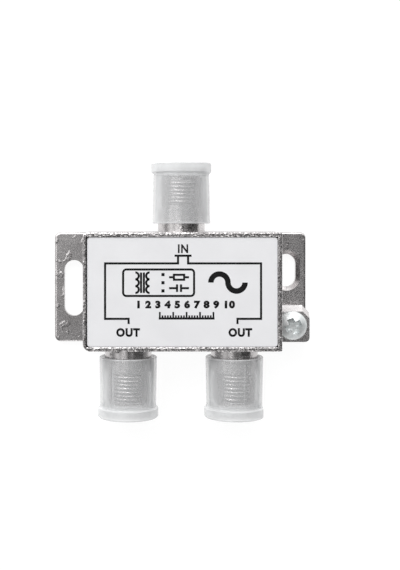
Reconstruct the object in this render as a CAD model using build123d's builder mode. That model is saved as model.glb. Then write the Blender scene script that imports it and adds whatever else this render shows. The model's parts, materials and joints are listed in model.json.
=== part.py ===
from build123d import *
from math import radians, tan
import os

os.makedirs("parts", exist_ok=True)

# The splitter lies on its back. X runs from ear to ear, Y towards the input port and Z out of the label.
# The origin is the middle of the back face. All lengths are in millimetres and all angles in degrees.

# Running and seating clearances, each on one side
seat_clearance = 0.03
cover_clearance = 0.06
screw_clearance = 0.06
screw_head_gap = 0.05
screw_side_gap = 0.03
cap_rib_clearance = 0.05

# Body of the casting
body_width = 42.1
body_height = 25.2
body_depth = 14.0
draft_angle = 0.6
side_wall = 1.6
face_wall = 1.5
crisp_corner_radius = 0.5
soft_corner_radius = 1.0
worn_corner_radius = 1.8
rim_round = 0.35

# Label in the recess of the face
label_width = 40.15
label_height = 23.1
label_thickness = 0.2
label_recess = 0.35
label_corner_radius = 0.6
label_shift = -0.05

# Sheet cover pressed into the back
cover_thickness = 0.6
cover_sink = 0.2
cover_ledge = 0.7
cover_corner_radius = 1.2
cover_dimple_radius = 1.3
cover_dimple_depth = 0.25
cover_dimple_taper = 30.0
cover_dimple_spacing = 24.0

# Ears, flush with the back
ear_width = 7.0
ear_top = 12.5
ear_bottom = -11.9
ear_thickness = 2.0
ear_corner_radius = 1.3
ear_edge_round = 0.5

# Mounting slots
slot_edge_distance = 4.35
slot_width = 4.3
left_slot_length = 12.45
left_slot_centre = 0.05
right_slot_length = 7.3
right_slot_centre = 3.95
right_slot_bevel = 0.85
right_slot_bevel_angle = 45.0

# Ground boss and its screw
boss_bottom = -11.45
boss_top = -4.8
boss_height = 6.5
boss_slope = 1.3
boss_slope_rise = 1.2
boss_corner_cut = 1.5
boss_corner_radius = 1.0
screw_y = -7.8
screw_shank_radius = 1.75
screw_shank_length = 5.2
screw_tip_chamfer = 0.5
screw_head_radius = 3.08
screw_head_edge = 0.9
screw_head_height = 2.4
recess_span = 3.7
recess_width = 1.05
recess_depth = 1.7
recess_taper = 8.0
recess_turn = 25.0

# Threaded port barrels
port_axis_height = 7.0
out_port_spacing = 23.1
collar_radius = 5.1
collar_length = 4.9
thread_root_radius = 4.35
barrel_length = 12.1
barrel_end_chamfer = 0.4
bore_radius = 3.6
lip_radius = 2.8
lip_thickness = 0.8

# Insulators and spring contact in each port
insulator_split = 4.0
entry_radius = 0.7
entry_funnel = 0.5
insulator_nose_wall = 1.0
rear_flange_radius = 4.4
rear_flange_thickness = 0.7
contact_radius = 1.2
contact_bore_radius = 0.55
contact_bore_depth = 5.5
contact_slit_width = 0.3
contact_slit_length = 3.6
tail_radius = 0.45
tail_reach = 4.6

# Dust caps
cap_gap = 1.85
cap_end_room = 1.8
cap_mouth_radius = 6.27
cap_neck_radius = 6.05
cap_flange_radius = 6.55
cap_flange_thickness = 2.3
cap_wall = 0.62
cap_end_wall = 1.1
cap_end_dish = 0.25
cap_edge_chamfer = 0.3
cap_mouth_chamfer = 0.15
rib_count = 3
rib_width = 0.55
rib_inset = 1.0
rib_end_gap = 1.25
in_rib_angle = -6.0
out_left_rib_angle = 39.0
out_right_rib_angle = -22.0

# Circuit inside the casting
board_width = 30.0
board_height = 15.2
board_thickness = 1.2
board_corner_radius = 0.8
post_radius = 1.2
post_spacing_x = 26.0
post_spacing_y = 8.0
cavity_corner_radius = 1.0
wire_thickness = 0.3
toroid_x = -5.0
toroid_y = 1.2
toroid_outer_radius = 2.8
toroid_inner_radius = 1.3
toroid_height = 2.6
toroid_turns = 7
toroid_turn_step = 45.0
toroid_first_turn = 90.0
balun_x = 3.8
balun_y = -0.6
balun_width = 7.0
balun_length = 5.4
balun_thickness = 4.2
balun_hole_radius = 0.95
balun_hole_spacing = 3.2
balun_round = 1.4
balun_turns = 3
resistor_x = 3.8
resistor_y = -5.4
resistor_radius = 0.9
resistor_waist = 0.75
resistor_length = 3.8
resistor_bulb = 0.9
resistor_lift = 1.3
lead_radius = 0.25
lead_spacing = 6.2
capacitor_x = 1.4
capacitor_y = 5.0
capacitor_radius = 1.9
capacitor_thickness = 1.3
capacitor_lift = 2.5
capacitor_lead_spacing = 2.0
capacitor_edge_chamfer = 0.35

# Sizes that follow from those above
draft_growth = body_depth * tan(radians(draft_angle))
back_width = body_width + 2 * draft_growth
back_height = body_height + 2 * draft_growth
cavity_width = body_width - 2 * side_wall
cavity_height = body_height - 2 * side_wall
cavity_depth = body_depth - label_recess - face_wall
cover_width = cavity_width + 2 * cover_ledge
cover_height = cavity_height + 2 * cover_ledge
ear_reach = body_width / 2 + ear_width
slot_position = ear_reach - slot_edge_distance
ear_height = ear_top - ear_bottom
ear_centre = (ear_top + ear_bottom) / 2
board_back = port_axis_height + tail_radius
board_front = board_back + board_thickness
boss_left = body_width / 2 - side_wall / 2
boss_foot_top = boss_top + boss_slope
wall_at_screw = body_width / 2 + (body_depth - boss_height) * tan(radians(draft_angle))
screw_x = wall_at_screw + screw_head_radius + screw_side_gap
cap_end = barrel_length + cap_end_room + cap_end_wall
rib_start = cap_gap + rib_inset
rib_length = cap_end - cap_end_wall - rib_end_gap - rib_start
cap_inner_mouth = cap_mouth_radius - cap_wall
cap_inner_end = cap_neck_radius - cap_wall
front_insulator_length = barrel_length - lip_thickness - insulator_split
contact_length = front_insulator_length - insulator_nose_wall

# Each port has a plane on the body's side wall: its z runs out along the barrel, its x towards the label.
port_places = {
    "in": (0, 1),
    "out_left": (-out_port_spacing / 2, -1),
    "out_right": (out_port_spacing / 2, -1),
}
port_planes = {
    name: Plane(origin=(x, side * body_height / 2, port_axis_height), x_dir=(0, 0, 1), z_dir=(0, side, 0))
    for name, (x, side) in port_places.items()
}


def section_of(port):
    """The plane through a port's axis, with its x across the barrel and its y out along the barrel."""
    return Plane(origin=port.origin, x_dir=port.x_dir, z_dir=-port.y_dir)


def axis_of(port):
    """The axis of a port's barrel."""
    return Axis(port.origin, port.z_dir)


def finish(builder, label):
    """Name a finished piece and write it."""
    builder.part.label = label
    export_step(builder.part, f"parts/{label}.step")


# Housing: one die casting with ears, ground boss and port barrels
with BuildPart() as housing:
    # Ear plate with its two slots, the right one bevelled
    with BuildSketch() as ear_outline:
        with Locations((0, ear_centre)):
            Rectangle(2 * ear_reach, ear_height)
        fillet(ear_outline.vertices(), ear_corner_radius)
    extrude(amount=ear_thickness)
    fillet(housing.faces().sort_by(Axis.Z)[-1].edges(), ear_edge_round)
    with BuildSketch():
        with Locations((-slot_position, left_slot_centre)):
            SlotOverall(left_slot_length, slot_width, rotation=90)
        with Locations((slot_position, right_slot_centre)):
            SlotOverall(right_slot_length, slot_width, rotation=90)
    extrude(amount=ear_thickness, mode=Mode.SUBTRACT)
    with BuildSketch(Plane.XY.offset(ear_thickness - right_slot_bevel)):
        with Locations((slot_position, right_slot_centre)):
            SlotOverall(right_slot_length, slot_width, rotation=90)
    extrude(amount=right_slot_bevel, taper=-right_slot_bevel_angle, mode=Mode.SUBTRACT)

    # Drafted body with its uneven corners and rounded rim
    with BuildSketch() as body_outline:
        Rectangle(back_width, back_height)
        fillet(body_outline.vertices().group_by(Axis.X)[-1], crisp_corner_radius)
        fillet(body_outline.vertices().group_by(Axis.X)[0].sort_by(Axis.Y)[0], worn_corner_radius)
        fillet(body_outline.vertices().group_by(Axis.X)[0].sort_by(Axis.Y)[-1], soft_corner_radius)
    extrude(amount=body_depth, taper=draft_angle)
    fillet(housing.faces().sort_by(Axis.Z)[-1].edges(), rim_round)

    # Ground boss: straight walls, then its upper side sloped; one corner cut, one rounded
    boss_shoulder = boss_height - boss_slope_rise
    for height, top in ((0, boss_foot_top), (boss_shoulder, boss_foot_top), (boss_height, boss_top)):
        with BuildSketch(Plane.XY.offset(height)) as boss_outline:
            with BuildLine():
                Polyline(
                    (boss_left, boss_bottom),
                    (ear_reach, boss_bottom),
                    (ear_reach, top - boss_corner_cut),
                    (ear_reach - boss_corner_cut, top),
                    (boss_left, top),
                    close=True,
                )
            make_face()
            fillet(boss_outline.vertices().group_by(Axis.X)[-1].sort_by(Axis.Y)[0], boss_corner_radius)
    loft(ruled=True)
    with BuildSketch():
        with Locations((screw_x, screw_y)):
            Circle(screw_shank_radius + screw_clearance)
    extrude(amount=boss_height, mode=Mode.SUBTRACT)

    # Port barrels: a plain collar, then the cylinder that carries the thread
    for port in port_planes.values():
        with BuildSketch(section_of(port)):
            with BuildLine():
                Polyline(
                    (0, -side_wall / 2),
                    (collar_radius, -side_wall / 2),
                    (collar_radius, collar_length),
                    (thread_root_radius, collar_length),
                    (thread_root_radius, barrel_length - barrel_end_chamfer),
                    (thread_root_radius - barrel_end_chamfer, barrel_length),
                    (0, barrel_length),
                    close=True,
                )
            make_face()
        revolve(axis=axis_of(port))

    # Open back, with a ledge for the cover
    with BuildSketch():
        RectangleRounded(cavity_width, cavity_height, cavity_corner_radius)
    extrude(amount=cavity_depth, mode=Mode.SUBTRACT)
    with BuildSketch():
        RectangleRounded(cover_width, cover_height, cover_corner_radius)
    extrude(amount=cover_sink + cover_thickness, mode=Mode.SUBTRACT)

    # Posts under the face that carry the circuit board
    with BuildSketch(Plane.XY.offset(board_front)):
        with GridLocations(post_spacing_x, post_spacing_y, 2, 2):
            Circle(post_radius)
    extrude(amount=cavity_depth - board_front)

    # Recess for the label
    with BuildSketch(Plane.XY.offset(body_depth - label_recess)):
        with Locations((label_shift, 0)):
            RectangleRounded(
                label_width + 2 * seat_clearance, label_height + 2 * seat_clearance, label_corner_radius
            )
    extrude(amount=label_recess, mode=Mode.SUBTRACT)

    # Stepped bore of each port, narrowed to a lip at its end
    for port in port_planes.values():
        with BuildSketch(port.offset(-2 * side_wall)):
            Circle(bore_radius)
        extrude(amount=2 * side_wall + barrel_length - lip_thickness, mode=Mode.SUBTRACT)
        with BuildSketch(port):
            Circle(lip_radius)
        extrude(amount=barrel_length, mode=Mode.SUBTRACT)
finish(housing, "housing")

# Back cover: a pressed plate with two dimples that stiffen it
with BuildPart() as back_cover:
    with BuildSketch(Plane.XY.offset(cover_sink)):
        RectangleRounded(
            cover_width - 2 * cover_clearance, cover_height - 2 * cover_clearance, cover_corner_radius
        )
    extrude(amount=cover_thickness)
    with BuildSketch(Plane.XY.offset(cover_sink)):
        with GridLocations(cover_dimple_spacing, 0, 2, 1):
            Circle(cover_dimple_radius)
    extrude(amount=cover_dimple_depth, taper=cover_dimple_taper, mode=Mode.SUBTRACT)
    with BuildSketch(Plane.XY.offset(cover_sink + cover_thickness)):
        with GridLocations(cover_dimple_spacing, 0, 2, 1):
            Circle(cover_dimple_radius)
    extrude(amount=cover_dimple_depth, taper=cover_dimple_taper)
finish(back_cover, "back_cover")

# Face label: a printed sheet in the recess
with BuildPart() as face_label:
    with BuildSketch(Plane.XY.offset(body_depth - label_recess)):
        with Locations((label_shift, 0)):
            RectangleRounded(label_width, label_height, label_corner_radius)
    extrude(amount=label_thickness)
finish(face_label, "face_label")

# Ground screw: pan head with a cross recess, its shank in the bore of the boss
screw_seat = boss_height + screw_head_gap
recess_floor_span = recess_span - 2 * recess_depth * tan(radians(recess_taper))
with BuildPart() as ground_screw:
    with BuildSketch(Plane.XZ.offset(-screw_y)):
        with BuildLine():
            Polyline(
                (screw_x, screw_seat + screw_head_height),
                (screw_x, screw_seat - screw_shank_length),
                (screw_x + screw_shank_radius - screw_tip_chamfer, screw_seat - screw_shank_length),
                (screw_x + screw_shank_radius, screw_seat - screw_shank_length + screw_tip_chamfer),
                (screw_x + screw_shank_radius, screw_seat),
                (screw_x + screw_head_radius, screw_seat),
                (screw_x + screw_head_radius, screw_seat + screw_head_edge),
            )
            TangentArc(
                (screw_x, screw_seat + screw_head_height),
                (screw_x + screw_head_radius, screw_seat + screw_head_edge),
                tangent=(1, 0),
            )
        make_face()
    revolve(axis=Axis((screw_x, screw_y, 0), (0, 0, 1)))
    with BuildSketch(Plane.XY.offset(screw_seat + screw_head_height - recess_depth)):
        with Locations((screw_x, screw_y)):
            Rectangle(recess_floor_span, recess_width, rotation=recess_turn)
            Rectangle(recess_width, recess_floor_span, rotation=recess_turn)
    extrude(amount=recess_depth, taper=-recess_taper, mode=Mode.SUBTRACT)
finish(ground_screw, "ground_screw")

# Insulators of each port: the front one behind the lip, the rear one with a flange inside the casting
for name, port in port_planes.items():
    with BuildPart() as insulator:
        with BuildSketch(section_of(port)):
            with BuildLine():
                Polyline(
                    (entry_radius, barrel_length - entry_funnel),
                    (entry_radius, insulator_split + contact_length),
                    (contact_radius + seat_clearance, insulator_split + contact_length),
                    (contact_radius + seat_clearance, insulator_split),
                    (bore_radius - seat_clearance, insulator_split),
                    (bore_radius - seat_clearance, barrel_length - lip_thickness),
                    (lip_radius - seat_clearance, barrel_length - lip_thickness),
                    (lip_radius - seat_clearance, barrel_length),
                    (entry_radius + entry_funnel, barrel_length),
                    close=True,
                )
            make_face()
        revolve(axis=axis_of(port))
    finish(insulator, f"{name}_insulator")

    with BuildPart() as rear_insulator:
        with BuildSketch(section_of(port)):
            with BuildLine():
                Polyline(
                    (tail_radius + seat_clearance, insulator_split),
                    (bore_radius - seat_clearance, insulator_split),
                    (bore_radius - seat_clearance, -side_wall),
                    (rear_flange_radius, -side_wall),
                    (rear_flange_radius, -side_wall - rear_flange_thickness),
                    (tail_radius + seat_clearance, -side_wall - rear_flange_thickness),
                    close=True,
                )
            make_face()
        revolve(axis=axis_of(port))
    finish(rear_insulator, f"{name}_rear_insulator")

# Spring contact of each port: a slit socket with a tail that reaches the circuit board
for name, port in port_planes.items():
    with BuildPart() as contact:
        with BuildSketch(section_of(port)):
            with BuildLine():
                Polyline(
                    (0, -side_wall - tail_reach),
                    (tail_radius, -side_wall - tail_reach),
                    (tail_radius, insulator_split),
                    (contact_radius, insulator_split),
                    (contact_radius, insulator_split + contact_length),
                    (contact_bore_radius, insulator_split + contact_length),
                    (contact_bore_radius, insulator_split + contact_length - contact_bore_depth),
                    (0, insulator_split + contact_length - contact_bore_depth),
                    close=True,
                )
            make_face()
        revolve(axis=axis_of(port))
        with BuildSketch(port.offset(insulator_split + contact_length - contact_slit_length)):
            Rectangle(2 * contact_radius, contact_slit_width)
            Rectangle(contact_slit_width, 2 * contact_radius)
        extrude(amount=contact_slit_length, mode=Mode.SUBTRACT)
    finish(contact, f"{name}_contact")

# Dust caps: a tapered sleeve with a flange round its closed end and three crush ribs inside.
# The right output's cap has its flange cut flush on the outer side.
cap_rib_angles = {"in": in_rib_angle, "out_left": out_left_rib_angle, "out_right": out_right_rib_angle}
for name, port in port_planes.items():
    with BuildPart() as cap:
        with BuildSketch(section_of(port)) as cap_section:
            with BuildLine():
                Polyline(
                    (cap_inner_mouth, cap_gap),
                    (cap_mouth_radius, cap_gap),
                    (cap_neck_radius, cap_end - cap_flange_thickness),
                    (cap_flange_radius, cap_end - cap_flange_thickness),
                    (cap_flange_radius, cap_end),
                    (cap_inner_end, cap_end),
                    (cap_inner_end - cap_end_dish, cap_end - cap_end_dish),
                    (0, cap_end - cap_end_dish),
                    (0, cap_end - cap_end_wall),
                    (cap_inner_end, cap_end - cap_end_wall),
                    close=True,
                )
            make_face()
            chamfer(cap_section.vertices().group_by(Axis.Y)[0], cap_mouth_chamfer)
            chamfer(cap_section.vertices().group_by(Axis.X)[-1], cap_edge_chamfer)
        revolve(axis=axis_of(port))
        with BuildSketch(port.offset(rib_start)):
            with PolarLocations(0, rib_count, start_angle=cap_rib_angles[name]):
                with Locations(((collar_radius + cap_rib_clearance + cap_inner_mouth + cap_wall / 2) / 2, 0)):
                    Rectangle(cap_inner_mouth + cap_wall / 2 - collar_radius - cap_rib_clearance, rib_width)
        extrude(amount=rib_length)
        if name == "out_right":
            with BuildSketch(port.offset(cap_end - cap_flange_thickness)):
                with Locations((0, -cap_neck_radius)):
                    Rectangle(
                        2 * cap_flange_radius,
                        cap_flange_radius,
                        align=(Align.CENTER, Align.MAX),
                    )
            extrude(amount=cap_flange_thickness, mode=Mode.SUBTRACT)
    finish(cap, f"{name}_cap")

# Circuit board, carried by the posts and by the contact tails
with BuildPart() as circuit_board:
    with BuildSketch(Plane.XY.offset(board_back)):
        RectangleRounded(board_width, board_height, board_corner_radius)
    extrude(amount=board_thickness)
finish(circuit_board, "circuit_board")

# Matching transformer: a ring core and its winding, hung under the board by the turns
toroid_top = board_back - wire_thickness - seat_clearance
with BuildPart() as matching_core:
    with BuildSketch(Plane.XY.offset(toroid_top - toroid_height)):
        with Locations((toroid_x, toroid_y)):
            Circle(toroid_outer_radius)
            Circle(toroid_inner_radius, mode=Mode.SUBTRACT)
    extrude(amount=toroid_height)
finish(matching_core, "matching_core")

toroid_centre = (toroid_x, toroid_y, toroid_top - toroid_height / 2)
toroid_band = toroid_outer_radius - toroid_inner_radius + 2 * seat_clearance
toroid_loop_height = toroid_height + 2 * seat_clearance
with BuildPart() as matching_winding:
    for turn in range(toroid_turns):
        outwards = Vector(1, 0, 0).rotate(Axis.Z, toroid_first_turn + turn * toroid_turn_step)
        turn_plane = Plane(origin=toroid_centre, x_dir=outwards, z_dir=outwards.cross(Vector(0, 0, 1)))
        with BuildSketch(turn_plane.offset(-wire_thickness / 2)):
            with Locations(((toroid_outer_radius + toroid_inner_radius) / 2, 0)):
                Rectangle(toroid_band + 2 * wire_thickness, toroid_loop_height + 2 * wire_thickness)
                Rectangle(toroid_band, toroid_loop_height, mode=Mode.SUBTRACT)
        extrude(amount=wire_thickness)
finish(matching_winding, "matching_winding")

# Splitting transformer: a two-hole core against the board, with turns through both holes
balun_middle = board_back - balun_thickness / 2
with BuildPart() as splitter_core:
    with BuildSketch(Plane.XZ.offset(-balun_y - balun_length / 2)):
        with Locations((balun_x, balun_middle)):
            RectangleRounded(balun_width, balun_thickness, balun_round)
            with Locations((-balun_hole_spacing / 2, 0), (balun_hole_spacing / 2, 0)):
                Circle(balun_hole_radius, mode=Mode.SUBTRACT)
    extrude(amount=balun_length)
finish(splitter_core, "splitter_core")

balun_loop_length = balun_length + 2 * seat_clearance
with BuildPart() as splitter_winding:
    for turn in range(balun_turns):
        turn_height = balun_middle + (turn - balun_turns / 2) * (wire_thickness + seat_clearance)
        with BuildSketch(Plane.XY.offset(turn_height)):
            with Locations((balun_x, balun_y)):
                Rectangle(balun_hole_spacing + wire_thickness, balun_loop_length + 2 * wire_thickness)
                Rectangle(balun_hole_spacing - wire_thickness, balun_loop_length, mode=Mode.SUBTRACT)
        extrude(amount=wire_thickness)
finish(splitter_winding, "splitter_winding")

# Balance resistor between the outputs, on its two leads
resistor_height = board_back - resistor_lift
with BuildPart() as balance_resistor:
    with BuildSketch(Plane.XY.offset(resistor_height)):
        with BuildLine():
            Polyline(
                (resistor_x - lead_spacing / 2, resistor_y),
                (resistor_x - lead_spacing / 2, resistor_y + lead_radius),
                (resistor_x - resistor_length / 2, resistor_y + lead_radius),
                (resistor_x - resistor_length / 2, resistor_y + resistor_radius),
                (resistor_x - resistor_length / 2 + resistor_bulb, resistor_y + resistor_radius),
                (resistor_x - resistor_length / 2 + resistor_bulb, resistor_y + resistor_waist),
                (resistor_x + resistor_length / 2 - resistor_bulb, resistor_y + resistor_waist),
                (resistor_x + resistor_length / 2 - resistor_bulb, resistor_y + resistor_radius),
                (resistor_x + resistor_length / 2, resistor_y + resistor_radius),
                (resistor_x + resistor_length / 2, resistor_y + lead_radius),
                (resistor_x + lead_spacing / 2, resistor_y + lead_radius),
                (resistor_x + lead_spacing / 2, resistor_y),
                close=True,
            )
        make_face()
    revolve(axis=Axis((resistor_x, resistor_y, resistor_height), (1, 0, 0)))
    with BuildSketch(Plane.XY.offset(resistor_height)):
        with Locations((resistor_x, resistor_y)):
            with GridLocations(lead_spacing - 2 * lead_radius, 0, 2, 1):
                Circle(lead_radius)
    extrude(amount=resistor_lift)
finish(balance_resistor, "balance_resistor")

# Capacitor behind the input: a ceramic disc on two leads
with BuildPart() as in_capacitor:
    with BuildSketch(Plane.XZ.offset(-capacitor_y - capacitor_thickness / 2)):
        with Locations((capacitor_x, board_back - capacitor_lift)):
            Circle(capacitor_radius)
    extrude(amount=capacitor_thickness)
    chamfer(in_capacitor.edges().filter_by(GeomType.CIRCLE), capacitor_edge_chamfer)
    with BuildSketch(Plane.XY.offset(board_back - capacitor_lift)):
        with Locations((capacitor_x, capacitor_y)):
            with GridLocations(capacitor_lead_spacing, 0, 2, 1):
                Circle(lead_radius)
    extrude(amount=capacitor_lift)
finish(in_capacitor, "in_capacitor")
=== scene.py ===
"""Looks of a small coaxial splitter: a nickel-plated casting, a printed label and milky dust caps.

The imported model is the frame. Every piece here is in metres, in the frame's own place: +X towards the right ear,
+Y towards the input port and +Z out of the label. Sizes are written in millimetres and turned to metres by MM.
"""

import json
import logging
import math
from dataclasses import dataclass
from enum import Enum

import bmesh
import bpy
from bmesh.types import BMesh, BMVert
from bpy.types import Material, Node, NodeSocket, NodeTree, Object
from mathutils import Matrix, Vector


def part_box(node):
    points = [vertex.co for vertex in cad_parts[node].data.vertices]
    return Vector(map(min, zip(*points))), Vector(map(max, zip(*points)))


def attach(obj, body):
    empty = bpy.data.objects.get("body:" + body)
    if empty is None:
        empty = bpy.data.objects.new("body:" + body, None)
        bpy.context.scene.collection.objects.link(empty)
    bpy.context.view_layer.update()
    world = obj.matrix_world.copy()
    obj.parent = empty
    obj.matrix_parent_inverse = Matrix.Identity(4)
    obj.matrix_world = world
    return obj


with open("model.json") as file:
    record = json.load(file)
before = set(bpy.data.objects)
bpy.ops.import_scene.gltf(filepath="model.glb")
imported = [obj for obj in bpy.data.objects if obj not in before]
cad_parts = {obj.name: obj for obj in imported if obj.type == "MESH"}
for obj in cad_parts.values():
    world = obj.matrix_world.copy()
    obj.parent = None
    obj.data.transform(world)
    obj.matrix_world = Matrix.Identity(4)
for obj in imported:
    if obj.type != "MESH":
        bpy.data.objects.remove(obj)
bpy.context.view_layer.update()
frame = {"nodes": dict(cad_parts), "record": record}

MM = 0.001
CASING = "casing"
PORTS = ("in", "out_left", "out_right")
LOG = logging.getLogger("coaxial_splitter")

# Edges that bend by more than this stay sharp under smooth shading
SHARP_BEND = math.radians(35)
# The stretch of a noise pattern's values that each part of a finish runs over
BLOTCH_SPAN = {"From Min": 0.35, "From Max": 0.65}
GRAIN_SPAN = {"From Min": 0.3, "From Max": 0.7}
SCUFF_SPAN = {"From Min": 0.6, "From Max": 0.72}
PORE_SPAN = {"From Min": 0.46, "From Max": 0.6}
PATCH_SPAN = {"From Min": 0.58, "From Max": 0.66}
# Scuffs from handling: their width in millimetres, their turn in radians, and how they are drawn out
SCUFF_WIDTH = 0.25
SCUFF_TURN = (0.2, 0.1, 0.6)
SCUFF_DRAW = (0.08, 1.0, 1.0)


def linear(colour: str) -> tuple[float, float, float, float]:
    """Turn an sRGB hex colour into linear values.

    Args:
        colour: six hex digits, such as "E6E7E9".

    Returns:
        Red, green, blue and an alpha of 1.
    """
    parts = [int(colour[i : i + 2], 16) / 255 for i in (0, 2, 4)]
    curve = [p / 12.92 if p <= 0.04045 else ((p + 0.055) / 1.055) ** 2.4 for p in parts]
    return curve[0], curve[1], curve[2], 1.0


def add_node(
    tree: NodeTree, kind: str, values: dict | None = None, links: dict | None = None, **settings: object
) -> Node:
    """Add one shader node with its settings, socket values and links.

    Args:
        tree: the node tree that takes the node.
        kind: the node's type name without the ShaderNode that each begins with.
        values: socket name or number to its value.
        links: socket name or number to what feeds it: an output socket, or a node for its first one.
        settings: attributes of the node itself.

    Returns:
        The new node.
    """
    node = tree.nodes.new(f"ShaderNode{kind}")
    for name, value in settings.items():
        setattr(node, name, value)
    for socket, value in (values or {}).items():
        node.inputs[socket].default_value = value
    for socket, source in (links or {}).items():
        tree.links.new(source if isinstance(source, NodeSocket) else source.outputs[0], node.inputs[socket])
    return node


@dataclass(frozen=True)
class Finish:
    """One surface finish, with its own procedural material.

    Lengths are in millimetres.

    Attributes:
        name: the real material's plain name.
        light: its lighter sRGB hex colour.
        dark: its darker sRGB hex colour.
        metallic: 1 for a bare metal, 0 for the rest.
        smooth: its lowest roughness.
        rough: its highest roughness.
        blotch: width of its colour variation.
        grain: width of its surface grain.
        depth: height of that grain.
        scuff: how much duller the finish is where handling has scuffed it.
        ior: index of refraction, where it isn't a metal.
    """

    name: str
    light: str
    dark: str
    metallic: float = 0.0
    smooth: float = 0.35
    rough: float = 0.5
    blotch: float = 3.0
    grain: float = 0.4
    depth: float = 0.01
    scuff: float = 0.08
    ior: float = 1.5

    def material(self) -> Material:
        """Build the material.

        Returns:
            A material that varies in colour, roughness and relief.
        """
        material = bpy.data.materials.new(self.name)
        material.use_nodes = True
        tree = material.node_tree
        shader = tree.nodes["Principled BSDF"]
        shader.inputs["Metallic"].default_value = self.metallic
        if not self.metallic:
            shader.inputs["IOR"].default_value = self.ior
        place = add_node(tree, "TexCoord").outputs["Object"]
        grain = add_node(tree, "TexNoise", {"Scale": 1 / (self.grain * MM), "Detail": 4.0}, {"Vector": place})
        self.tint(tree, shader, place)
        self.gloss(tree, shader, place, grain.outputs["Fac"])
        height = self.height(tree, place, grain.outputs["Fac"])
        bump = add_node(tree, "Bump", {"Strength": 1.0, "Distance": MM}, {"Height": height})
        tree.links.new(bump.outputs["Normal"], shader.inputs["Normal"])
        return material

    def tint(self, tree: NodeTree, shader: Node, place: NodeSocket) -> None:
        """Blend the two colours in soft blotches.

        Args:
            tree: the material's node tree.
            shader: the material's shader.
            place: Object coordinates.
        """
        blotches = add_node(tree, "TexNoise", {"Scale": 1 / (self.blotch * MM), "Detail": 3.0}, {"Vector": place})
        share = add_node(tree, "MapRange", BLOTCH_SPAN, {"Value": blotches})
        colour = add_node(tree, "Mix", {6: linear(self.light), 7: linear(self.dark)}, {0: share}, data_type="RGBA")
        tree.links.new(colour.outputs[2], shader.inputs["Base Color"])

    def gloss(self, tree: NodeTree, shader: Node, place: NodeSocket, grain: NodeSocket) -> None:
        """Vary the roughness with the grain, and dull it along fine scuffs.

        Args:
            tree: the material's node tree.
            shader: the material's shader.
            place: Object coordinates.
            grain: the grain pattern.
        """
        levels = {**GRAIN_SPAN, "To Min": self.smooth, "To Max": self.rough}
        base = add_node(tree, "MapRange", levels, {"Value": grain})
        drawn = add_node(tree, "Mapping", {"Rotation": SCUFF_TURN, "Scale": SCUFF_DRAW}, {0: place})
        lines = add_node(tree, "TexNoise", {"Scale": 1 / (SCUFF_WIDTH * MM), "Detail": 2.0}, {"Vector": drawn})
        scuffs = add_node(tree, "MapRange", {**SCUFF_SPAN, "To Max": self.scuff}, {"Value": lines})
        total = add_node(tree, "Math", None, {0: base, 1: scuffs}, operation="ADD", use_clamp=True)
        tree.links.new(total.outputs[0], shader.inputs["Roughness"])

    def height(self, tree: NodeTree, place: NodeSocket, grain: NodeSocket) -> NodeSocket:
        """Work out the height of the surface's relief.

        Args:
            tree: the material's node tree.
            place: Object coordinates, not used here.
            grain: the grain pattern.

        Returns:
            The height in millimetres.
        """
        return add_node(tree, "Math", {1: self.depth}, {0: grain}, operation="MULTIPLY").outputs[0]


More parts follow.
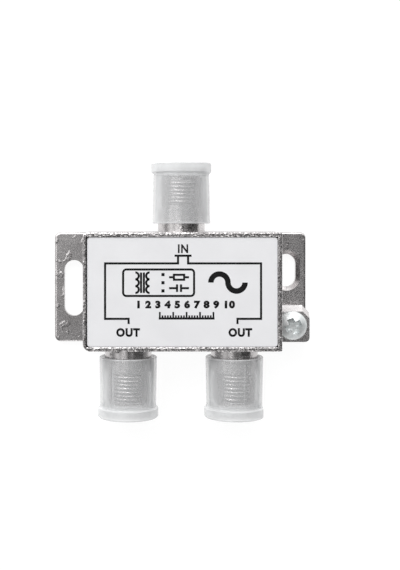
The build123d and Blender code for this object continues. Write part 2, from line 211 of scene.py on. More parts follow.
@dataclass(frozen=True)
class PlatedCasting(Finish):
    """Nickel plate over a zinc die casting: bright plate on a lumpy, porous skin, so it glints in specks.

    Lengths are in millimetres, unless metres are named.

    Attributes:
        skin: width of the lumps in the skin.
        skin_crisp: how strong the finer lumps among them are, where 1 is as strong as the wide ones.
        skin_depth: height of those lumps on the flat sides.
        rim_depth: height of the lumps on the rim of the face, where the casting was trimmed.
        rim_height: where that rim begins over the back.
        rim_span: how much higher its finish is at full strength.
        rim_draw: how far the lumps on the rim are drawn out along it: less than 1 is longer.
        patch: width of the coarser patches on the flat sides.
        patch_depth: height of the lumps in those patches.
        patch_shift: how far the pattern of patches is moved, in metres.
        pore_and_shade_colour: sRGB hex colour of the pores, where the plate is dull, and of the painted shade beside
            the label.
        pore: width of a pore.
        rim_pores: how dark the pores are on the rim.
        side_pores: how dark they are elsewhere.
        recess: half width and half height of the label's recess.
        recess_shift: how far the recess sits to the right.
        lip: width of the worn lip round the recess.
        lip_fall: how far that lip falls towards the label.
        groove_shade_width: width of the painted shade along the rim's inner edge, beside the label.
    """

    skin: float = 0.42
    skin_crisp: float = 0.6
    skin_depth: float = 0.001
    rim_depth: float = 0.18
    rim_height: float = 12.9
    rim_span: float = 0.5
    rim_draw: float = 0.4
    patch: float = 2.6
    patch_depth: float = 0.11
    patch_shift: tuple[float, float, float] = (0.006, 0.009, 0.0)
    pore_and_shade_colour: str = "343233"
    pore: float = 0.34
    rim_pores: float = 0.5
    side_pores: float = 0.08
    recess: tuple[float, float] = (20.075, 11.55)
    recess_shift: float = -0.05
    lip: float = 0.34
    lip_fall: float = 0.15
    groove_shade_width: float = 0.22

    def rim(self, tree: NodeTree, place: NodeSocket) -> NodeSocket:
        """Mark the rim of the face.

        Args:
            tree: the material's node tree.
            place: Object coordinates.

        Returns:
            1 on the rim and 0 below it.
        """
        axes = add_node(tree, "SeparateXYZ", None, {0: place})
        span = {"From Min": self.rim_height * MM, "From Max": (self.rim_height + self.rim_span) * MM}
        return add_node(tree, "MapRange", span, {"Value": axes.outputs["Z"]}).outputs["Result"]

    def rim_place(self, tree: NodeTree, place: NodeSocket) -> NodeSocket:
        """Lay coordinates along the rim, so that a pattern on them is drawn out along each of its sides.

        Args:
            tree: the material's node tree.
            place: Object coordinates.

        Returns:
            The distance out from the label's recess, then the drawn-out way along the rim, in metres.
        """
        middle = {1: (self.recess_shift * MM, 0, 0)}
        centred = add_node(tree, "VectorMath", middle, {0: place}, operation="SUBTRACT")
        folded = add_node(tree, "VectorMath", None, {0: centred}, operation="ABSOLUTE")
        recess = {1: (self.recess[0] * MM, self.recess[1] * MM, 0)}
        reach = add_node(tree, "VectorMath", recess, {0: folded}, operation="SUBTRACT")
        axes = add_node(tree, "SeparateXYZ", None, {0: reach})
        sides = {0: axes.outputs["X"], 1: axes.outputs["Y"]}
        distance = add_node(tree, "Math", None, sides, operation="MAXIMUM")
        draw = {1: (self.rim_draw, self.rim_draw, 0)}
        along = add_node(tree, "VectorMath", draw, {0: place}, operation="DOT_PRODUCT")
        return add_node(tree, "CombineXYZ", None, {0: distance, 1: along.outputs["Value"]}).outputs[0]

    def band(self, tree: NodeTree, place: NodeSocket, empty: float, full: float) -> NodeSocket:
        """Mark a band on the rim, round the label's recess.

        Args:
            tree: the material's node tree.
            place: Object coordinates.
            empty: where the band begins, from the recess, in millimetres.
            full: where it reaches its full strength, from the recess, in millimetres.

        Returns:
            0 before the band and off the rim, and 1 from its full strength on.
        """
        distance = add_node(tree, "SeparateXYZ", None, {0: self.rim_place(tree, place)})
        span = {"From Min": empty * MM, "From Max": full * MM}
        share = add_node(tree, "MapRange", span, {"Value": distance}, interpolation_type="SMOOTHSTEP")
        return add_node(tree, "Math", None, {0: share, 1: self.rim(tree, place)}, operation="MULTIPLY").outputs[0]

    def tint(self, tree: NodeTree, shader: Node, place: NodeSocket) -> None:
        """Darken the plate's colour in its pores, and paint shade along the rim's inner edge beside the label.

        Args:
            tree: the material's node tree.
            shader: the material's shader.
            place: Object coordinates.
        """
        Finish.tint(self, tree, shader, place)
        plate = shader.inputs["Base Color"].links[0].from_socket
        specks = add_node(tree, "TexNoise", {"Scale": 1 / (self.pore * MM), "Detail": 1.0}, {"Vector": place})
        pores = add_node(tree, "MapRange", PORE_SPAN, {"Value": specks})
        depths = {"To Min": self.side_pores, "To Max": self.rim_pores}
        darkness = add_node(tree, "MapRange", depths, {"Value": self.rim(tree, place)})
        # Painted shade: the rim darkens towards the pore colour along its inner edge, where it meets the label
        groove_shade = self.band(tree, place, self.groove_shade_width, 0.0)
        total = add_node(tree, "Math", None, {0: pores, 1: darkness, 2: groove_shade}, operation="MULTIPLY_ADD", use_clamp=True)
        colour = add_node(tree, "Mix", {7: linear(self.pore_and_shade_colour)}, {0: total, 6: plate}, data_type="RGBA")
        tree.links.new(colour.outputs[2], shader.inputs["Base Color"])

    def height(self, tree: NodeTree, place: NodeSocket, grain: NodeSocket) -> NodeSocket:
        """Add the lumps of the casting's skin to the grain, strongest on the rim, and round the recess's lip.

        Args:
            tree: the material's node tree.
            place: Object coordinates.
            grain: the grain pattern.

        Returns:
            The height in millimetres.
        """
        moved = add_node(tree, "Mapping", {"Location": self.patch_shift}, {0: place})
        regions = add_node(tree, "TexNoise", {"Scale": 1 / (self.patch * MM), "Detail": 2.0}, {"Vector": moved})
        depths = {**PATCH_SPAN, "To Min": self.skin_depth, "To Max": self.patch_depth}
        patches = add_node(tree, "MapRange", depths, {"Value": regions})
        trimmed = add_node(tree, "Math", {1: self.rim_depth}, {0: self.rim(tree, place)}, operation="MULTIPLY")
        skin = {"Scale": 1 / (self.skin * MM), "Detail": 2.0, "Roughness": self.skin_crisp}
        total = Finish.height(self, tree, place, grain)
        for way, depth in ((place, patches), (self.rim_place(tree, place), trimmed)):
            lumps = add_node(tree, "TexNoise", skin, {"Vector": way})
            total = add_node(tree, "Math", None, {0: lumps, 1: depth, 2: total}, operation="MULTIPLY_ADD").outputs[0]
        terms = {0: self.band(tree, place, self.lip, 0.0), 2: total}
        return add_node(tree, "Math", {1: -self.lip_fall}, terms, operation="MULTIPLY_ADD").outputs[0]


@dataclass(frozen=True)
class RolledSheet(Finish):
    """Rolled and tinned steel sheet: soft streaks along the rolling direction.

    Attributes:
        draw: how far rolling drew the grain out along X: less than 1 is longer.
    """

    draw: float = 0.05

    def height(self, tree: NodeTree, place: NodeSocket, grain: NodeSocket) -> NodeSocket:
        """Draw the grain out along X into rolling streaks.

        Args:
            tree: the material's node tree.
            place: Object coordinates.
            grain: the grain pattern, which the streaks take the place of.

        Returns:
            The height in millimetres.
        """
        drawn = add_node(tree, "Mapping", {"Scale": (self.draw, 1.0, 1.0)}, {0: place})
        streaks = add_node(tree, "TexNoise", {"Scale": 1 / (self.grain * MM), "Detail": 4.0}, {"Vector": drawn})
        return Finish.height(self, tree, place, streaks.outputs["Fac"])


@dataclass(frozen=True)
class MilkyPlastic(Finish):
    """Low-density polyethylene: waxy and translucent, so that what lies behind it shows dimmed.

    Lengths are in millimetres.

    Attributes:
        veil: how much light one face of a wall stops.
        cloud: how much that varies with the clouding of the plastic.
        thick_veil: how much more a face stops in the thick flange and at the rim of the mouth.
        seam_veil: how much more it stops along the seam of the mould, at the height of the port's axis.
        seam_height: height of that axis over the back.
        seam_reach: how far the seam's clouding reaches from it.
        flange_start: how far from the middle of the splitter the flanges begin.
        flange_span: how much further out they stop the most light.
        mouth_end: how far from the middle the rims of the mouths end.
        mouth_span: how much further in they stop the most light.
    """

    veil: float = 0.24
    cloud: float = 0.05
    thick_veil: float = 0.24
    seam_veil: float = 0.32
    seam_height: float = 7.0
    seam_reach: float = 6.0
    flange_start: float = 24.7
    flange_span: float = 0.5
    mouth_end: float = 14.85
    mouth_span: float = 0.3

    def material(self) -> Material:
        """Build the plastic, then thin it to a veil.

        Returns:
            A material whose alpha is higher where the plastic is thick.
        """
        material = Finish.material(self)
        tree = material.node_tree
        place = add_node(tree, "TexCoord").outputs["Object"]
        clouds = add_node(tree, "TexNoise", {"Scale": 1 / (self.blotch * MM), "Detail": 2.0}, {"Vector": place})
        veils = {**GRAIN_SPAN, "To Min": self.veil, "To Max": self.veil + self.cloud}
        total = add_node(tree, "MapRange", veils, {"Value": clouds}).outputs["Result"]
        axes = add_node(tree, "SeparateXYZ", None, {0: place})
        reach = add_node(tree, "Math", None, {0: axes.outputs["Y"]}, operation="ABSOLUTE")
        level = add_node(tree, "Math", {1: self.seam_height * MM}, {0: axes.outputs["Z"]}, operation="SUBTRACT")
        off_seam = add_node(tree, "Math", None, {0: level}, operation="ABSOLUTE")
        for way, start, full, veil in (
            (reach, self.flange_start, self.flange_start + self.flange_span, self.thick_veil),
            (reach, self.mouth_end, self.mouth_end - self.mouth_span, self.thick_veil),
            (off_seam, self.seam_reach, 0.0, self.seam_veil),
        ):
            span = {"From Min": start * MM, "From Max": full * MM, "To Max": veil}
            thick = add_node(tree, "MapRange", span, {"Value": way}, interpolation_type="SMOOTHSTEP")
            total = add_node(tree, "Math", None, {0: total, 1: thick}, operation="ADD", use_clamp=True).outputs[0]
        tree.links.new(total, tree.nodes["Principled BSDF"].inputs["Alpha"])
        return material


# Nickel plate on zinc: neutral grey, sharp glints from the lumpy skin of the casting
NICKEL_CASTING = PlatedCasting(
    "nickel_plated_zinc_casting", "DAD7D7", "C3C0C0", metallic=1.0,
    smooth=0.2, rough=0.32, blotch=5.0, grain=0.3, depth=0.004,
)
# The same plate on the cut thread: brighter, because the crests are burnished
NICKEL_THREAD = Finish(
    "nickel_plated_thread", "DAD8D8", "C4C2C2", metallic=1.0,
    smooth=0.12, rough=0.22, blotch=2.0, grain=0.3, depth=0.002,
)
# Clear zinc plate on a steel screw: bright, faintly cool
ZINC_SCREW = Finish(
    "zinc_plated_steel", "F2F4F4", "E2E6E6", metallic=1.0,
    smooth=0.5, rough=0.68, blotch=1.6, grain=0.5, depth=0.01,
)
# Tin plate on the rear cover: soft grey with rolling streaks
TINNED_SHEET = RolledSheet(
    "tinned_steel_sheet", "D0D0CE", "B4B4B2", metallic=1.0,
    smooth=0.3, rough=0.48, blotch=6.0, grain=0.25, depth=0.006,
)
# Solder that holds the cover: bright where it froze smooth
SOLDER = Finish(
    "tin_solder", "D6D6D4", "B4B4B2", metallic=1.0,
    smooth=0.22, rough=0.42, blotch=0.8, grain=0.3, depth=0.02,
)
# Satin vinyl foil: cool white with a faint orange peel
LABEL_FOIL = Finish("satin_vinyl_foil", "E6E6E8", "E2E2E4", smooth=0.42, rough=0.55, blotch=7.0, grain=0.7, depth=0.003)
# Screen ink: soft black, a little uneven where it is thin
SCREEN_INK = Finish(
    "screen_printing_ink", "08080A", "111113",
    smooth=0.5, rough=0.65, blotch=0.7, grain=0.2, depth=0.002, ior=1.3,
)
# Low-density polyethylene: milky and waxy
MILKY_CAP = MilkyPlastic(
    "milky_polyethylene", "EDEEEF", "E5E6E7",
    smooth=0.14, rough=0.26, blotch=4.0, grain=1.4, depth=0.01, scuff=0.1, ior=1.51,
)
# Natural polypropylene: white, faintly yellow
INSULATOR = Finish(
    "natural_polypropylene", "EFEDE2", "E2DFD2",
    smooth=0.4, rough=0.55, blotch=2.0, grain=0.5, depth=0.004,
)
# Tin-washed phosphor bronze: pale gold
CONTACT_BRONZE = Finish(
    "phosphor_bronze", "D6B478", "B8955A", metallic=1.0,
    smooth=0.24, rough=0.4, blotch=1.0, grain=0.3, depth=0.004,
)
# Phenolic paper laminate: tan, dull cut edges
BOARD = Finish(
    "phenolic_paper_laminate", "B8904E", "9C7636",
    smooth=0.5, rough=0.7, blotch=2.0, grain=0.25, depth=0.006,
)
# Sintered ferrite: dark grey, dusty
FERRITE = Finish("sintered_ferrite", "3B3B3E", "2B2B2D", smooth=0.6, rough=0.8, blotch=0.8, grain=0.15, depth=0.01)
# Enamelled copper wire: glossy red-brown
COPPER_WIRE = Finish(
    "enamelled_copper_wire", "C4663A", "9C4A26", metallic=1.0,
    smooth=0.2, rough=0.35, blotch=1.0, grain=0.4, depth=0.003,
)
# Resistor lacquer: pale blue gloss
RESISTOR_LACQUER = Finish(
    "resistor_lacquer", "8FB4C8", "7CA2B8",
    smooth=0.25, rough=0.4, blotch=0.8, grain=0.3, depth=0.004,
)
# Ceramic capacitor dip: ochre, rounded gloss
CAPACITOR_DIP = Finish(
    "ceramic_capacitor_dip", "D08A3A", "BC7628",
    smooth=0.3, rough=0.5, blotch=0.8, grain=0.3, depth=0.008,
)

# The finish of each node of the frame, the port pieces by the end of their name
NODE_FINISHES = {
    "housing": NICKEL_CASTING,
    "back_cover": TINNED_SHEET,
    "face_label": LABEL_FOIL,
    "ground_screw": ZINC_SCREW,
    "circuit_board": BOARD,
    "matching_core": FERRITE,
    "splitter_core": FERRITE,
    "matching_winding": COPPER_WIRE,
    "splitter_winding": COPPER_WIRE,
    "balance_resistor": RESISTOR_LACQUER,
    "in_capacitor": CAPACITOR_DIP,
    "insulator": INSULATOR,
    "contact": CONTACT_BRONZE,
    "cap": MILKY_CAP,
}


class Sweep(Enum):
    """How much of a circle a printed bow takes."""

    QUARTER = math.pi / 2
    HALF = math.pi


def piece(name: str, bm: BMesh, material: Material, body: str, smooth: bool = False) -> Object:
    """Turn a finished bmesh into an object that rides on a body.

    Args:
        name: the object's name.
        bm: the mesh, which is freed.
        material: its finish.
        body: the frame's body that carries it.
        smooth: True shades it smooth, apart from sharp edges.

    Returns:
        The linked object, at the origin.
    """
    mesh = bpy.data.meshes.new(name)
    if smooth:
        for face in bm.faces:
            face.smooth = True
        for edge in bm.edges:
            edge.smooth = edge.calc_face_angle(0.0) < SHARP_BEND
    bm.to_mesh(mesh)
    bm.free()
    mesh.materials.append(material)
    made = bpy.data.objects.new(name, mesh)
    bpy.context.collection.objects.link(made)
    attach(made, body)
    LOG.info("%s: %d faces, rides on %s", name, len(mesh.polygons), body)
    return made


def port_matrix(port: str) -> Matrix:
    """Find where a port's barrel ends.

    Args:
        port: one of PORTS.

    Returns:
        A matrix whose origin is the middle of the barrel's end and whose Z runs out of the port.
    """
    mount = next(m for m in frame["record"]["mounts"] if m["name"] == f"{port}_port")
    turn = Vector((0, 0, 1)).rotation_difference(Vector(mount["axis"])).to_matrix().to_4x4()
    return Matrix.Translation(Vector(mount["pos_m"])) @ turn


class Nodes:
    """The pieces that come from the frame."""

    def build(self) -> None:
        """Give each node its finish."""
        made = {}
        for node, shown in frame["nodes"].items():
            finish = next(f for key, f in NODE_FINISHES.items() if node == key or node.endswith(f"_{key}"))
            if finish.name not in made:
                made[finish.name] = finish.material()
            shown.material_slots[0].material = made[finish.name]
            LOG.info("%s: %s", node, finish.name)


@dataclass
class PortThreads:
    """The helical threads on the three barrels.

    Lengths are in millimetres.

    Attributes:
        pitch: distance between crests, 32 to the inch.
        root: radius of the cylinder that the thread stands on.
        crest: radius over the crests.
        crest_round: how far the plating rounds the crests' edges.
        length: threaded length, measured in from the end's chamfer.
        end_chamfer: plain stretch at the barrel's end.
        steps: straight pieces in one turn.
        foot_share: half the width of the ridge's foot, as a share of the pitch.
        crest_share: half the width of its crest, as a share of the pitch.
    """

    pitch: float = 25.4 / 32
    root: float = 4.33
    crest: float = 4.76
    crest_round: float = 0.08
    length: float = 6.6
    end_chamfer: float = 0.35
    steps: int = 48
    foot_share: float = 0.44
    crest_share: float = 0.1

    def build(self) -> None:
        """Make one thread for each port."""
        material = NICKEL_THREAD.material()
        for port in PORTS:
            bm = self.ridge()
            bmesh.ops.transform(bm, matrix=port_matrix(port), verts=bm.verts)
            piece(f"{port}_thread", bm, material, CASING, True)

    def ridge(self) -> BMesh:
        """Sweep the thread's section along a helix.

        Returns:
            A closed ridge about the Z axis, below the origin.
        """
        bm = bmesh.new()
        flank, flat = self.pitch * self.foot_share, self.pitch * self.crest_share
        start = -(self.end_chamfer + flank)
        shoulder = self.crest - self.crest_round
        profile = (
            (self.root, flank),
            (shoulder, flat + self.crest_round / 2),
            (self.crest, flat - self.crest_round / 2),
            (self.crest, self.crest_round / 2 - flat),
            (shoulder, -flat - self.crest_round / 2),
            (self.root, -flank),
        )
        corners = [bm.verts.new((r * MM, 0, (start + z) * MM)) for r, z in profile]
        section = bm.faces.new(corners)
        count = round((self.length - 2 * flank) / self.pitch * self.steps)
        bmesh.ops.spin(
            bm,
            geom=[section, *section.edges, *section.verts],
            cent=(0, 0, 0),
            axis=(0, 0, 1),
            dvec=(0, 0, -self.pitch * MM / self.steps),
            angle=2 * math.pi * count / self.steps,
            steps=count,
            use_merge=False,
            use_duplicate=False,
        )
        bmesh.ops.recalc_face_normals(bm, faces=bm.faces)
        return bm


@dataclass(frozen=True)
class Word:
    """One line of plain lettering on the label.

    Attributes:
        name: the piece's name.
        text: what is written.
        size: width and height over the letters, in millimetres.
        place: middle of the text, in millimetres from the middle of the body.
        weight: how far the outlines are thickened, as a share of the text's height.
    """

    name: str
    text: str
    size: tuple[float, float]
    place: tuple[float, float]
    weight: float


@dataclass
class LabelPrint:
    """The print on the face label: a line diagram, the port words and plain signs.

    Lengths are in millimetres from the middle of the body.

    Attributes:
        stroke: width of the thin lines.
        ink: thickness of the print.
        material: the ink's material, once build has made it.
        merge: how near two corners are that become one.
        bow_step: how far one straight piece of a bow turns, in degrees.
        middle: sideways place of the diagram's middle.
        rail_top: height of the line under the input.
        rail_bottom: height of the two lines over the outputs.
        rail_reach: half the width between the outer lines.
        stem_reach: half the width between the two stems.
        stem_top: height of the bar over the stems.
        bar_reach: half the length of that bar.
        output_reach: half the width between the two output ticks.
        tick_bottom: height at which the ticks end.
        frame: left, lower, right and upper side of the rounded frame.
        frame_corner: radius of its corners.
        coils: sideways places of the two windings in the coil sign.
        coil_radius: radius of one turn.
        coil_turns: turns in each winding.
        core_reach: half the distance between the two core lines.
        dot_place: sideways place of the three dots.
        dot_size: width of a dot.
        dot_pitch: distance between the middles of two dots, in dot widths.
        sign_middle: sideways middle of the resistor and capacitor signs.
        sign_reach: half their width with leads.
        sign_rise: how far each lies from the frame's middle.
        sign_tall: half the height of the capacitor's plates.
        plate_gap: half the distance between those plates.
        box_reach: half the width of the resistor's box, as a share of sign_reach.
        box_tall: half its height, as a share of sign_tall.
        wave_middle: middle of the bold wave.
        wave_radius: radius of its two bows.
        wave_stroke: width of its line.
        scale_ends: left and right end of the tick scale.
        scale_rise: its foot and the top of its long ticks.
        scale_ticks: how many ticks it has.
        long_every: how many ticks there are to a long one.
        short_tick: height of a short tick, as a share of a long one.
        tick_stroke: width of a tick, as a share of a thin line.
        words: the lettering.
        letter_steps: straight pieces in one curved stretch of a letter.
        letter_spacing: how far apart the letters stand, where 1 is the typeface's own.
    """

    stroke: float = 0.45
    ink: float = 0.015
    material: Material | None = None
    merge: float = 1e-4
    bow_step: float = 9.0
    middle: float = 0.1
    rail_top: float = 6.03
    rail_bottom: float = -5.65
    rail_reach: float = 16.43
    stem_reach: float = 1.06
    stem_top: float = 7.65
    bar_reach: float = 1.8
    output_reach: float = 11.47
    tick_bottom: float = -6.75
    frame: tuple[float, float, float, float] = (-12.53, -0.83, 2.42, 4.75)
    frame_corner: float = 0.7
    coils: tuple[float, float] = (-9.95, -6.95)
    coil_radius: float = 0.72
    coil_turns: int = 3
    core_reach: float = 0.3
    dot_place: float = -4.13
    dot_size: float = 0.66
    dot_pitch: float = 2.6
    sign_middle: float = -0.75
    sign_reach: float = 2.1
    sign_rise: float = 1.15
    sign_tall: float = 0.8
    plate_gap: float = 0.42
    box_reach: float = 0.62
    box_tall: float = 0.65
    wave_middle: tuple[float, float] = (9.56, 2.0)
    wave_radius: float = 1.8
    wave_stroke: float = 1.15
    scale_ends: tuple[float, float] = (-4.8, 6.5)
    scale_rise: tuple[float, float] = (-5.8, -4.2)
    scale_ticks: int = 21
    long_every: int = 5
    short_tick: float = 0.55
    tick_stroke: float = 0.8
    words: tuple[Word, ...] = (
        Word("print_in", "IN", (2.15, 1.85), (0.09, 9.13), 0.035),
        Word("print_out_left", "OUT", (5.0, 1.85), (-11.48, -8.52), 0.055),
        Word("print_out_right", "OUT", (5.0, 1.85), (12.17, -8.52), 0.055),
        Word("print_numbers", "1 2 3 4 5 6 7 8 9 10", (20.6, 1.75), (0.75, -2.63), 0.07),
    )
    letter_steps: int = 4
    letter_spacing: float = 1.15

    def build(self) -> None:
        """Make every printed piece."""
        self.material = SCREEN_INK.material()
        self.diagram()
        self.sign_frame()
        self.wave()
        self.scale()
        for word in self.words:
            self.lettering(word)

    def finish(self, name: str, bm: BMesh) -> None:
        """Give flat shapes the ink's thickness and lay them on the label.

        Args:
            name: the piece's name.
            bm: flat faces in the XY plane, in millimetres.
        """
        bmesh.ops.remove_doubles(bm, verts=bm.verts, dist=self.merge)
        raised = bmesh.ops.extrude_face_region(bm, geom=list(bm.faces), use_keep_orig=True)
        lifted = [v for v in raised["geom"] if isinstance(v, BMVert)]
        bmesh.ops.translate(bm, verts=lifted, vec=(0, 0, self.ink))
        bmesh.ops.recalc_face_normals(bm, faces=bm.faces)
        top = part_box("face_label")[1].z
        bmesh.ops.transform(bm, matrix=Matrix.Translation((0, 0, top)) @ Matrix.Scale(MM, 4), verts=bm.verts)
        piece(name, bm, self.material, CASING)

    def bar(self, bm: BMesh, left: float, bottom: float, right: float, top: float) -> None:
        """Add a filled rectangle.

        Args:
            bm: the mesh that takes it.
            left: lowest x.
            bottom: lowest y.
            right: highest x.
            top: highest y.
        """
        place = Matrix.Translation(((left + right) / 2, (bottom + top) / 2, 0))
        size = Matrix.Diagonal((right - left, top - bottom, 1, 1))
        bmesh.ops.create_grid(bm, x_segments=1, y_segments=1, size=0.5, matrix=place @ size)

    def bow(
        self, bm: BMesh, middle: tuple[float, float], radius: float, stroke: float, start: float, sweep: Sweep
    ) -> None:
        """Add a flat piece of a ring.

        Args:
            bm: the mesh that takes it.
            middle: centre of the ring.
            radius: mean radius.
            stroke: width of the ring.
            start: where it begins, in degrees from +X.
            sweep: how much of the circle it takes.
        """
        turn = Matrix.Translation((*middle, 0)) @ Matrix.Rotation(math.radians(start), 4, "Z")
        ends = [bm.verts.new(turn @ Vector((radius + side * stroke / 2, 0, 0))) for side in (-1, 1)]
        bmesh.ops.spin(
            bm,
            geom=[*ends, bm.edges.new(ends)],
            cent=(*middle, 0),
            axis=(0, 0, 1),
            angle=sweep.value,
            steps=round(sweep.value / math.radians(self.bow_step)),
            use_merge=False,
        )

    def diagram(self) -> None:
        """Draw the signal path from the input to both outputs."""
        bm = bmesh.new()
        half = self.stroke / 2
        for side in (-1, 1):
            outer = self.middle + side * self.rail_reach
            stem = self.middle + side * self.stem_reach
            output = self.middle + side * self.output_reach
            for height, inner in ((self.rail_top, stem), (self.rail_bottom, output)):
                left, right = sorted((outer + side * half, inner - side * half))
                self.bar(bm, left, height - half, right, height + half)
            self.bar(bm, outer - half, self.rail_bottom + half, outer + half, self.rail_top - half)
            self.bar(bm, stem - half, self.rail_top + half, stem + half, self.stem_top - half)
            self.bar(bm, output - half, self.tick_bottom, output + half, self.rail_bottom - half)
        left, right = self.middle - self.bar_reach, self.middle + self.bar_reach
        self.bar(bm, left, self.stem_top - half, right, self.stem_top + half)
        self.finish("print_diagram", bm)

    def sign_frame(self) -> None:
        """Draw the rounded frame and the plain circuit signs in it."""
        bm = bmesh.new()
        half, corner = self.stroke / 2, self.frame_corner
        low_x, low_y, high_x, high_y = self.frame
        left, bottom, right, top = low_x + corner, low_y + corner, high_x - corner, high_y - corner
        for line in (low_x, high_x):
            self.bar(bm, line - half, bottom, line + half, top)
        for line in (low_y, high_y):
            self.bar(bm, left, line - half, right, line + half)
        for middle, start in (((right, top), 0), ((left, top), 90), ((left, bottom), 180), ((right, bottom), 270)):
            self.bow(bm, middle, corner, self.stroke, start, Sweep.QUARTER)
        middle = (high_y + low_y) / 2
        self.coil_sign(bm, middle)
        for row in (-1, 0, 1):
            height = middle + row * self.dot_pitch * self.dot_size
            half = self.dot_size / 2
            self.bar(bm, self.dot_place - half, height - half, self.dot_place + half, height + half)
        self.resistor_sign(bm, middle + self.sign_rise)
        self.capacitor_sign(bm, middle - self.sign_rise)
        self.finish("print_signs", bm)

    def coil_sign(self, bm: BMesh, height: float) -> None:
        """Draw two windings on either side of a core.

        Args:
            bm: the mesh that takes it.
            height: its height on the label.
        """
        for place, start in zip(self.coils, (-90, 90)):
            for turn in range(self.coil_turns):
                rise = (2 * turn - self.coil_turns + 1) * self.coil_radius
                self.bow(bm, (place, height + rise), self.coil_radius, self.stroke, start, Sweep.HALF)
        reach = self.coil_turns * self.coil_radius
        for side in (-1, 1):
            line = sum(self.coils) / 2 + side * self.core_reach
            self.bar(bm, line - self.stroke / 2, height - reach, line + self.stroke / 2, height + reach)

    def resistor_sign(self, bm: BMesh, height: float) -> None:
        """Draw a resistor: a box between two leads.

        Args:
            bm: the mesh that takes it.
            height: its height on the label.
        """
        half, box, tall = self.stroke / 2, self.sign_reach * self.box_reach, self.sign_tall * self.box_tall
        left, right = self.sign_middle - self.sign_reach, self.sign_middle + self.sign_reach
        self.bar(bm, left, height - half, self.sign_middle - box, height + half)
        self.bar(bm, self.sign_middle + box, height - half, right, height + half)
        for side in (-1, 1):
            wall = self.sign_middle + side * (box - half)
            self.bar(bm, wall - half, height - tall + half, wall + half, height + tall - half)
            lid = height + side * tall
            self.bar(bm, self.sign_middle - box, lid - half, self.sign_middle + box, lid + half)

    def capacitor_sign(self, bm: BMesh, height: float) -> None:
        """Draw a capacitor: two plates between two leads.

        Args:
            bm: the mesh that takes it.
            height: its height on the label.
        """
        half = self.stroke / 2
        for side in (-1, 1):
            plate = self.sign_middle + side * self.plate_gap
            self.bar(bm, plate - half, height - self.sign_tall, plate + half, height + self.sign_tall)
            left, right = sorted((plate + side * half, self.sign_middle + side * self.sign_reach))
            self.bar(bm, left, height - half, right, height + half)

    def wave(self) -> None:
        """Draw the bold wave sign: one bow up, one down."""
        bm = bmesh.new()
        x, y = self.wave_middle
        self.bow(bm, (x - self.wave_radius, y), self.wave_radius, self.wave_stroke, 0, Sweep.HALF)
        self.bow(bm, (x + self.wave_radius, y), self.wave_radius, self.wave_stroke, 180, Sweep.HALF)
        self.finish("print_wave", bm)

    def scale(self) -> None:
        """Draw a tick scale under the numbers."""
        bm = bmesh.new()
        left, right = self.scale_ends
        low, high = self.scale_rise
        half, slim = self.stroke / 2, self.stroke / 2 * self.tick_stroke
        foot, step = low + self.stroke, (right - left) / (self.scale_ticks - 1)
        self.bar(bm, left - half, low, right + half, foot)
        for tick in range(self.scale_ticks):
            place = left + tick * step
            share = 1.0 if tick % self.long_every == 0 else self.short_tick
            self.bar(bm, place - slim, foot, place + slim, low + (high - low) * share)
        self.finish("print_scale", bm)

    def lettering(self, word: Word) -> None:
        """Write one line of plain text at its size.

        Args:
            word: what is written, and where.
        """
        curve = bpy.data.curves.new(word.name, "FONT")
        curve.body = word.text
        curve.offset = word.weight
        curve.resolution_u = self.letter_steps
        curve.space_character = self.letter_spacing
        written = bpy.data.objects.new(word.name, curve)
        bpy.context.collection.objects.link(written)
        bpy.context.view_layer.update()
        mesh = bpy.data.meshes.new_from_object(written.evaluated_get(bpy.context.evaluated_depsgraph_get()))
        bpy.data.objects.remove(written)
        bm = bmesh.new()
        bm.from_mesh(mesh)
        bpy.data.meshes.remove(mesh)
        # Where a thickened outline crosses itself, a sliver of the fill lies over its neighbours
        slivers = [min(e.link_faces, key=lambda f: f.calc_area()) for e in bm.edges if len(e.link_faces) > 2]
        bmesh.ops.delete(bm, geom=slivers, context="FACES")
        lows = Vector((min(v.co.x for v in bm.verts), min(v.co.y for v in bm.verts), 0))
        highs = Vector((max(v.co.x for v in bm.verts), max(v.co.y for v in bm.verts), 0))
        spans = highs - lows
        bmesh.ops.translate(bm, verts=bm.verts, vec=-(lows + highs) / 2)
        bmesh.ops.scale(bm, verts=bm.verts, vec=(word.size[0] / spans.x, word.size[1] / spans.y, 1))
        bmesh.ops.translate(bm, verts=bm.verts, vec=(*word.place, 0))
        self.finish(word.name, bm)


@dataclass
class CapGates:
    """The stub on each dust cap where the plastic flowed in.

    Lengths are in millimetres.

    Attributes:
        radius: radius of the stub.
        height: how far it stands up in the dished end.
        dish: depth of that dish.
        edge: width of its bevelled edge.
        edge_steps: flat strips across that edge.
        taper: radius of its top, as a share of its foot's.
        sides: flat sides round it.
    """

    radius: float = 0.75
    height: float = 0.2
    dish: float = 0.25
    edge: float = 0.05
    edge_steps: int = 2
    taper: float = 0.8
    sides: int = 32

    def build(self) -> None:
        """Put a stub in the dish of each cap."""
        for port in PORTS:
            low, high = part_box(f"{port}_cap")
            matrix = port_matrix(port)
            outwards = matrix.col[2].to_3d()
            far = max(low.dot(outwards), high.dot(outwards)) - matrix.translation.dot(outwards)
            bm = bmesh.new()
            bmesh.ops.create_cone(
                bm,
                cap_ends=True,
                segments=self.sides,
                radius1=self.radius * MM,
                radius2=self.radius * self.taper * MM,
                depth=self.height * MM,
            )
            rims = [e for e in bm.edges if all(v.co.z > 0 for v in e.verts)]
            edge, steps = self.edge * MM, self.edge_steps
            bmesh.ops.bevel(bm, geom=rims, offset=edge, segments=steps, profile=0.5, affect="EDGES", material=-1)
            lift = Matrix.Translation((0, 0, far - (self.dish - self.height / 2) * MM))
            bmesh.ops.transform(bm, matrix=matrix @ lift, verts=bm.verts)
            material = frame["nodes"][f"{port}_cap"].material_slots[0].material
            piece(f"{port}_cap_gate", bm, material, f"{port}_cap", True)


